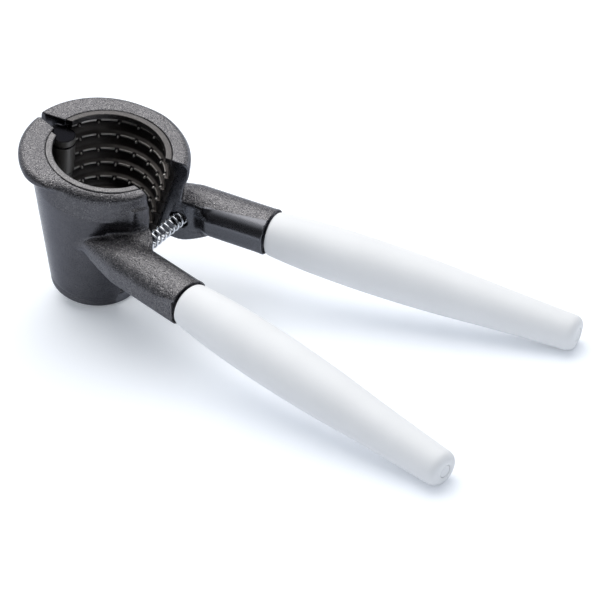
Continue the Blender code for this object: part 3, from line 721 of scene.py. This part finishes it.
def blacked_steel():
    made, tree, shader, coordinates = started("Blacked steel")
    grains = speckled(tree, coordinates, LINER_GRAINS)
    dark = mixed(tree, grains["Cloud"], *BLACKED, 0.3, 0.7)
    # Brighter along each crest: wear and a painted highlight.
    wear_and_highlight = times(tree, noted(tree, "wear_and_highlight"), ranged(tree, grains["Tone"], 0.0, 1.0, 0.7, 1.0))
    inside = mixed(tree, wear_and_highlight, dark, EDGE_WEAR_AND_HIGHLIGHT)
    coat = mixed(tree, grains["Tone"], *BEAD_COAT, 0.4, 0.85)
    tree.links.new(mixed(tree, noted(tree, "beaded"), inside, coat), shader.inputs["Base Color"])
    tree.links.new(ranged(tree, grains["Cloud"], 0.3, 0.7, 0.28, 0.4), shader.inputs["Roughness"])
    shader.inputs["Metallic"].default_value = 1.0
    bumped(tree, grains["Grain"], LINER_RELIEF, shader)
    return made


black_steel = blacked_steel()
for name, half, low, high in (
    ("near_toothed_liner", NEAR, (-22.7, -25.3, 8.0), (27.7, 5.2, 65.3)),
    ("far_toothed_liner", FAR, (-22.7, -5.6, 8.0), (27.7, 26.7, 65.3)),
):
    piece = cast(name, low, high, LINER_STEP, liner(half))
    x, y, z = places(piece)
    radius = np.hypot(x - POCKET_CENTRE[0], y - POCKET_CENTRE[1])
    nearest = np.clip(np.round((FIRST_STEP - z) / STEP_PITCH), 0, STEP_COUNT - 1)
    inward = FIRST_STEP_RADIUS - STEP_INSET * nearest - radius
    bead = np.clip((z - BEAD_Z[0] + 0.4) / 0.8, 0.0, 1.0)
    # Brighter toward each crest: wear and a painted highlight.
    note(piece, "wear_and_highlight", np.clip(1.1 + 2.6 * inward, 0.0, 1.0) * (1.0 - bead))
    # The far liner's bead is painted darker than the near one's: painted shade.
    note(piece, "beaded", bead * (1.0 if half is NEAR else 0.35))
    piece.data.materials.append(black_steel)
    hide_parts("near_liner" if half is NEAR else "far_liner")
    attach(piece, "near_side" if half is NEAR else "far_side")

# The hinge pin is a turned steel pin with a low head, and the tangs are steel rods cast into the
# arms that carry the grips. Only the pin's head shows, so both stay as they are and get a ground
# steel finish with fine turning lines.


def ground_steel():
    made, tree, shader, coordinates = started("Ground steel")
    lines = tree.nodes.new("ShaderNodeTexNoise")
    lines.inputs["Scale"].default_value = 900.0
    lines.inputs["Detail"].default_value = 4.0
    tree.links.new(coordinates.outputs["Object"], lines.inputs["Vector"])
    shade = mixed(tree, lines.outputs["Fac"], (0.42, 0.43, 0.45), (0.62, 0.63, 0.65), 0.3, 0.7)
    tree.links.new(shade, shader.inputs["Base Color"])
    tree.links.new(ranged(tree, lines.outputs["Fac"], 0.3, 0.7, 0.2, 0.36), shader.inputs["Roughness"])
    shader.inputs["Metallic"].default_value = 1.0
    bumped(tree, lines.outputs["Fac"], 0.00002, shader)
    return made


steel = ground_steel()
for name in ("hinge_pin", "near_tang", "far_tang"):
    frame["nodes"][name].data.materials.clear()
    frame["nodes"][name].data.materials.append(steel)

# The grips are turned, swelling handles with a smooth matte white lacquer, pushed over the tangs.
# Their end is closed by a small round plug of the same white, set almost flush.
HANDLE_END = (181.7, 43.1, 55.4)
GRIP_SHAPE = [(0.0, 8.4), (0.1, 9.35), (0.28, 10.03), (0.5, 9.6), (0.75, 7.9), (0.9, 7.0), (1.0, 6.5)]
START_EDGE = [(0.0, 1.2), (0.15, 0.7), (0.5, 0.25), (1.1, 0.0)]
GRIP_START = ARM_LENGTH + 0.5
GRIP_LENGTH = (Vector(HANDLE_END) - Vector(ARM_END)).length
GRIP_END = GRIP_START + GRIP_LENGTH
END_ROUND = 2.6
GRIP_BORE_END = GRIP_START + 70.3
PLUG_HOLE = 2.4
PLUG_HOLE_DEPTH = 3.3
PLUG_RADIUS = 2.25
PLUG_DEPTH = 3.0


def along_curve(points, at):
    """Smooth curve through (place, value) points."""
    xs, ys = zip(*points)
    slopes = np.gradient(ys, xs)
    i = np.clip(np.searchsorted(xs, at) - 1, 0, len(xs) - 2)
    xs, ys = (np.array(xs), np.array(ys))
    step = xs[i + 1] - xs[i]
    t = (at - xs[i]) / step
    start = (2 * t**3 - 3 * t**2 + 1) * ys[i] + (t**3 - 2 * t**2 + t) * step * slopes[i]
    return start + (3 * t**2 - 2 * t**3) * ys[i + 1] + (t**3 - t**2) * step * slopes[i + 1]


def turned(name, side, profile, segments=96):
    """A turned piece on an arm's axis, from (length, radius) places that start and end on the axis."""
    start, along, across, up = arm_frame(side)
    turns = [2 * math.pi * i / segments for i in range(segments)]
    points = [start + along * profile[0][0], start + along * profile[-1][0]]
    for length, radius in profile[1:-1]:
        middle = start + along * length
        points += [middle + (across * math.cos(t) + up * math.sin(t)) * radius for t in turns]
    faces = []
    rings = len(profile) - 2
    for i in range(segments):
        j = (i + 1) % segments
        faces.append((0, 2 + j, 2 + i))
        for k in range(rings - 1):
            low, high = (2 + k * segments, 2 + (k + 1) * segments)
            faces.append((low + i, low + j, high + j, high + i))
        last = 2 + (rings - 1) * segments
        faces.append((1, last + i, last + j))
    mesh = bpy.data.meshes.new(name)
    mesh.from_pydata([point * MM for point in points], [], faces)
    mesh.validate()
    mesh.shade_smooth()
    mesh.set_sharp_from_angle(angle=math.radians(40.0))
    return set_down(name, mesh)


def rounded_edge(length, radius, round_by, turns=(10, 30, 50, 70, 90)):
    """A quarter round from a side of some radius over to a flat end at some length."""
    made = []
    for degrees in turns:
        turn = math.radians(degrees)
        along, out = (math.sin(turn) - 1.0, math.cos(turn) - 1.0)
        made.append((length + round_by * along, radius + round_by * out))
    return made


def white_lacquer(name, tint):
    made, tree, shader, coordinates = started(name)
    cloud = tree.nodes.new("ShaderNodeTexNoise")
    cloud.inputs["Scale"].default_value = 55.0
    cloud.inputs["Detail"].default_value = 5.0
    peel = tree.nodes.new("ShaderNodeTexNoise")
    peel.inputs["Scale"].default_value = 900.0
    peel.inputs["Detail"].default_value = 3.0
    for node in (cloud, peel):
        tree.links.new(coordinates.outputs["Object"], node.inputs["Vector"])
    light = tuple(min(1.0, value * 1.03) for value in tint)
    tree.links.new(mixed(tree, cloud.outputs["Fac"], tint, light, 0.35, 0.65), shader.inputs["Base Color"])
    tree.links.new(ranged(tree, peel.outputs["Fac"], 0.3, 0.7, 0.5, 0.62), shader.inputs["Roughness"])
    shader.inputs["Specular IOR Level"].default_value = 0.4
    bumped(tree, peel.outputs["Fac"], 0.00002, shader)
    return made


lacquer = white_lacquer("White lacquer", (0.86, 0.865, 0.872))
plug_white = white_lacquer("Plug white", (0.85, 0.855, 0.865))
first, last = (GRIP_SHAPE[0][1], GRIP_SHAPE[-1][1])
grip_profile = [(GRIP_BORE_END, 0.0), (GRIP_BORE_END, TANG_BORE), (GRIP_START, TANG_BORE)]
grip_profile += [(GRIP_START + along, first - under) for along, under in START_EDGE]
for share in np.linspace(0.02, 0.975, 56):
    grip_profile.append((GRIP_START + GRIP_LENGTH * share, float(along_curve(GRIP_SHAPE, share))))
grip_profile += rounded_edge(GRIP_END, last, END_ROUND)
grip_profile += [(GRIP_END, PLUG_HOLE + 0.08), (GRIP_END - 0.06, PLUG_HOLE)]
grip_profile += [(GRIP_END - PLUG_HOLE_DEPTH, radius) for radius in (PLUG_HOLE, 0.0)]
plug_profile = [(GRIP_END - PLUG_DEPTH, 0.0), (GRIP_END - PLUG_DEPTH, PLUG_RADIUS)]
plug_profile += rounded_edge(GRIP_END - 0.05, PLUG_RADIUS, 0.15)
plug_profile += [(GRIP_END, 1.0), (GRIP_END + 0.03, 0.0)]
for side, body in ((-1, "near_side"), (1, "far_side")):
    which = body.split("_")[0]
    grip = turned(f"{which}_lacquered_grip", side, grip_profile)
    plug = turned(f"{which}_grip_plug", side, plug_profile, 48)
    for piece, finish, node, slot in (
        (grip, lacquer, f"{which}_grip", "grip"),
        (plug, plug_white, f"{which}_end_plug", "end_plug"),
    ):
        piece.data.materials.append(finish)
        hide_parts(node)
        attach(piece, body)

# The return spring is a coil of bright zinc-plated wire. Its ends sit in a round seat in each web and it
# pushes the arms apart.
SPRING_RADIUS = 2.55
WIRE = 0.88
SPRING_CURLS = 10
POINTS_PER_CURL = 28


def zinc_plate():
    made, tree, shader, coordinates = started("Zinc plate")
    drawn = tree.nodes.new("ShaderNodeTexNoise")
    drawn.inputs["Scale"].default_value = 1300.0
    drawn.inputs["Detail"].default_value = 2.0
    tree.links.new(coordinates.outputs["Object"], drawn.inputs["Vector"])
    shade = mixed(tree, drawn.outputs["Fac"], (0.66, 0.69, 0.74), (0.84, 0.86, 0.89), 0.3, 0.7)
    tree.links.new(shade, shader.inputs["Base Color"])
    tree.links.new(ranged(tree, drawn.outputs["Fac"], 0.3, 0.7, 0.18, 0.3), shader.inputs["Roughness"])
    shader.inputs["Metallic"].default_value = 1.0
    bumped(tree, drawn.outputs["Fac"], 0.00001, shader)
    return made


def spring_line(low, high):
    """Helix along Y whose ends turn straight into the seats."""
    coil_low, coil_high = (low + 1.6 * WIRE, high - 1.6 * WIRE)
    points = [(SEAT[0] + SPRING_RADIUS, low, SEAT[1])]
    count = SPRING_CURLS * POINTS_PER_CURL
    for i in range(count + 1):
        turn = 2 * math.pi * i / POINTS_PER_CURL
        y = coil_low + (coil_high - coil_low) * i / count
        points.append((SEAT[0] + SPRING_RADIUS * math.cos(turn), y, SEAT[1] + SPRING_RADIUS * math.sin(turn)))
    points.append((SEAT[0] + SPRING_RADIUS, high, SEAT[1]))
    return points


def wound(name, points, radius):
    curve = bpy.data.curves.new(name + "_line", "CURVE")
    curve.dimensions = "3D"
    curve.bevel_depth = radius * MM
    curve.bevel_resolution = 3
    curve.use_fill_caps = True
    spline = curve.splines.new("POLY")
    spline.points.add(len(points) - 1)
    for place, point in zip(spline.points, points):
        place.co = (*(value * MM for value in point), 1.0)
    line = bpy.data.objects.new(name + "_line", curve)
    mesh = bpy.data.meshes.new_from_object(line)
    bpy.data.objects.remove(line)
    mesh.shade_smooth()
    return set_down(name, mesh)


near_seat = -split_depth(NEAR, SEAT[0]) - SEAT_DEPTH + GAP
far_seat = split_depth(FAR, SEAT[0]) + SEAT_DEPTH - GAP
spring = wound("coil_spring", spring_line(near_seat, far_seat), WIRE / 2)
spring.data.materials.append(zinc_plate())
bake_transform(spring)
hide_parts("return_spring")

# A pale table under a large soft lamp, as for a catalogue picture. The table and the surroundings
# show white to the camera and in the metal, and the table keeps the tool's soft bluish shadow.
TABLE_SIZE = 3.0
# Where the dark sheet stands round the tool and how its glow grows toward its edges: a painted reflection in
# the metal.
SHEET_REACH = 1.8
SHEET_TURN = (-165.0, 50.0)
SHEET_HEIGHT = (0.0, 60.0)
SHEET_SIDE = [(-165.0, 1.0), (-150.0, 0.45), (-125.0, 0.1), (20.0, 0.07), (50.0, 1.0)]
SHEET_ABOVE = [(0.0, 0.3), (12.0, 0.07), (45.0, 0.07), (60.0, 1.0)]


def table_top():
    made, tree, shader, _ = started("Pale table")
    add, link = (tree.nodes.new, tree.links.new)
    shader.inputs["Base Color"].default_value = (0.93, 0.955, 1.0, 1.0)
    shader.inputs["Roughness"].default_value = 0.8
    path = add("ShaderNodeLightPath")
    seen = add("ShaderNodeMath")
    seen.operation = "MAXIMUM"
    link(path.outputs["Is Camera Ray"], seen.inputs[0])
    link(path.outputs["Is Glossy Ray"], seen.inputs[1])
    lift = add("ShaderNodeMath")
    lift.operation = "MULTIPLY"
    lift.inputs[1].default_value = 0.2
    link(seen.outputs[0], lift.inputs[0])
    shader.inputs["Emission Color"].default_value = (0.93, 0.97, 1.0, 1.0)
    link(lift.outputs[0], shader.inputs["Emission Strength"])
    return made


def white_surroundings():
    world = bpy.data.worlds.new("White surroundings")
    world.use_nodes = True
    tree = world.node_tree
    add, link = (tree.nodes.new, tree.links.new)
    plain = tree.nodes["Background"]
    plain.inputs["Color"].default_value = (0.86, 0.92, 1.0, 1.0)
    plain.inputs["Strength"].default_value = 0.5
    white = add("ShaderNodeBackground")
    white.inputs["Strength"].default_value = 1.0
    white.inputs["Color"].default_value = (1.0, 1.0, 1.0, 1.0)
    path = add("ShaderNodeLightPath")
    seen = path.outputs["Is Camera Ray"]
    for label in ("Is Glossy Ray", "Is Transmission Ray"):
        either = add("ShaderNodeMath")
        either.operation = "MAXIMUM"
        link(seen, either.inputs[0])
        link(path.outputs[label], either.inputs[1])
        seen = either.outputs[0]
    mix = add("ShaderNodeMixShader")
    link(seen, mix.inputs["Fac"])
    link(plain.outputs["Background"], mix.inputs[1])
    link(white.outputs["Background"], mix.inputs[2])
    link(mix.outputs["Shader"], tree.nodes["World Output"].inputs["Surface"])
    bpy.context.scene.world = world


def flat(name, size):
    mesh = bpy.data.meshes.new(name)
    corners = [(-size, -size, 0.0), (size, -size, 0.0), (size, size, 0.0), (-size, size, 0.0)]
    mesh.from_pydata(corners, [], [(0, 1, 2, 3)])
    made = bpy.data.objects.new(name, mesh)
    bpy.context.scene.collection.objects.link(made)
    return made


def soft_lamp(name, place, target, size, watts, tint):
    lamp = bpy.data.lights.new(name, "AREA")
    lamp.shape = "DISK"
    lamp.size = size
    lamp.energy = watts
    lamp.color = tint
    made = bpy.data.objects.new(name, lamp)
    bpy.context.scene.collection.objects.link(made)
    made.location = place
    made.rotation_euler = (Vector(target) - Vector(place)).to_track_quat("-Z", "Y").to_euler()


def reflected_dark_sheet():
    """A dark sheet round the camera's side that only glossy rays see: a painted dark reflection in the metal,
    glowing paler toward its edges.
    """
    made, tree, shader, _ = started("Reflected dark sheet")
    shader.inputs["Base Color"].default_value = (0.0, 0.0, 0.0, 1.0)
    shader.inputs["Specular IOR Level"].default_value = 0.0
    # The glow is a painted reflection of paler surroundings, seen only in the metal.
    shader.inputs["Emission Color"].default_value = (0.95, 0.97, 1.0, 1.0)
    tree.links.new(noted(tree, "reflected_glow"), shader.inputs["Emission Strength"])
    turns = np.linspace(*SHEET_TURN, 48)
    heights = np.linspace(*SHEET_HEIGHT, 24)
    points, reflected_glow = [], []
    for height in heights:
        for turn in turns:
            a, b = (math.radians(turn), math.radians(height))
            points.append((math.cos(b) * math.cos(a), math.cos(b) * math.sin(a), math.sin(b)))
            side = np.interp(turn, *zip(*SHEET_SIDE))
            above = np.interp(height, *zip(*SHEET_ABOVE))
            reflected_glow.append(max(side, above))
    faces = []
    for j in range(len(heights) - 1):
        for i in range(len(turns) - 1):
            low, high = (j * len(turns) + i, (j + 1) * len(turns) + i)
            faces.append((low, high, high + 1, low + 1))
    mesh = bpy.data.meshes.new("reflected_dark_sheet")
    mesh.from_pydata([[SHEET_REACH * value for value in point] for point in points], [], faces)
    sheet = bpy.data.objects.new("reflected_dark_sheet", mesh)
    bpy.context.scene.collection.objects.link(sheet)
    note(sheet, "reflected_glow", reflected_glow)
    mesh.materials.append(made)
    sheet.visible_camera = False
    sheet.visible_diffuse = False
    sheet.visible_shadow = False
    sheet.visible_transmission = False
    return sheet


table = flat("table", TABLE_SIZE)
table.data.materials.append(table_top())
reflected_dark_sheet()
white_surroundings()
soft_lamp("overhead_lamp", (-0.3, 0.28, 1.03), (-0.02, 0.0, 0.02), 1.4, 11.2, (1.0, 0.98, 0.955))

# The camera looks down on the tool from beyond the near grip, a little rolled, with a long lens.
CAMERA_PLACE = (0.49488, -0.54885, 0.50649)
CAMERA_RIGHT = (0.80141, 0.58252, -0.13569)
CAMERA_UP = (-0.23694, 0.51749, 0.82223)
LENS = 146.48
lens = bpy.data.cameras.new("camera")
lens.lens = LENS
lens.sensor_width = 36.0
lens.clip_end = 10.0
camera = bpy.data.objects.new("camera", lens)
bpy.context.scene.collection.objects.link(camera)
right, up = (Vector(CAMERA_RIGHT), Vector(CAMERA_UP))
facing = Matrix((right, up, right.cross(up))).transposed().to_4x4()
camera.matrix_world = Matrix.Translation(CAMERA_PLACE) @ facing
bpy.context.scene.camera = camera
bpy.context.scene.view_settings.view_transform = "Standard"
